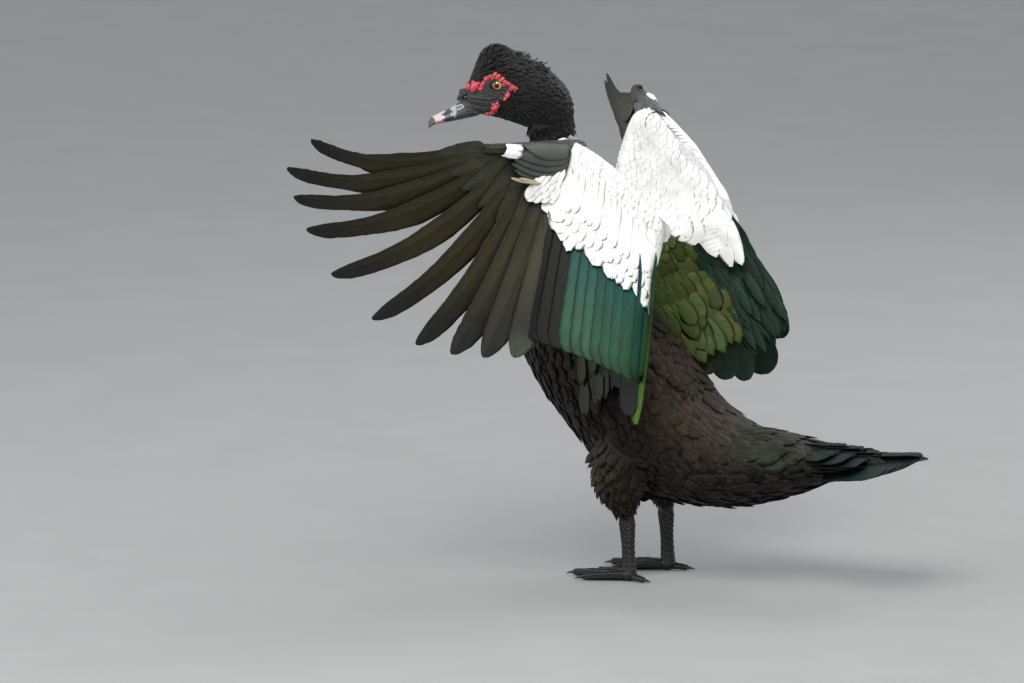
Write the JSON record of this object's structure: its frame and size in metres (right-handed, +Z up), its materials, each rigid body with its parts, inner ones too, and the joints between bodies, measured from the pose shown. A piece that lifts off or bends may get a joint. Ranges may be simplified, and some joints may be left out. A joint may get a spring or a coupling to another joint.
{
  "type": "muscovy duck",
  "caption": "Life-size still model of a muscovy drake standing with both wings raised and swept forward, neck upright, tail level.",
  "frame": {"origin": "middle of the bounding box, on the floor under the feet", "axes": "+Z up; the bird faces -X and its left side is towards -Y, so the wings span along Y"},
  "size_m": [0.5976, 0.8466, 0.591],
  "materials": {
    "head_feathers": "black plumage with a faint green gloss, tousled on the crown",
    "body_feathers": "dark brown scaled plumage, chestnut on the mantle",
    "green_feathers": "olive to bottle green plumage with dark edges and a silky sheen",
    "white_feathers": "clean white covert plumage",
    "flight_feathers": "dull brown-black vanes, semi-matt",
    "tail_feathers": "black vanes with a blue-green gloss",
    "iris": "wet glossy eye, yellow-brown iris round a black pupil",
    "bill": "dark grey horn with a pale band and a pinkish tip, satin",
    "leg_skin": "scaled dark grey skin, matt"
  },
  "bodies": {
    "root": {"head": "head_feathers", "eye_left": "iris", "eye_right": "iris", "bill_upper": "bill", "bill_lower": "bill", "neck": "head_feathers", "torso": "body_feathers", "tail": "tail_feathers", "upper_arm_left": "green_feathers", "upper_arm_right": "green_feathers", "forearm_left": "white_feathers", "forearm_right": "white_feathers", "hand_left": "flight_feathers", "hand_right": "flight_feathers", "thigh_left": "body_feathers", "thigh_right": "body_feathers", "tarsus_left": "leg_skin", "tarsus_right": "leg_skin", "foot_left": "leg_skin", "foot_right": "leg_skin"}
  },
  "joints": []
}
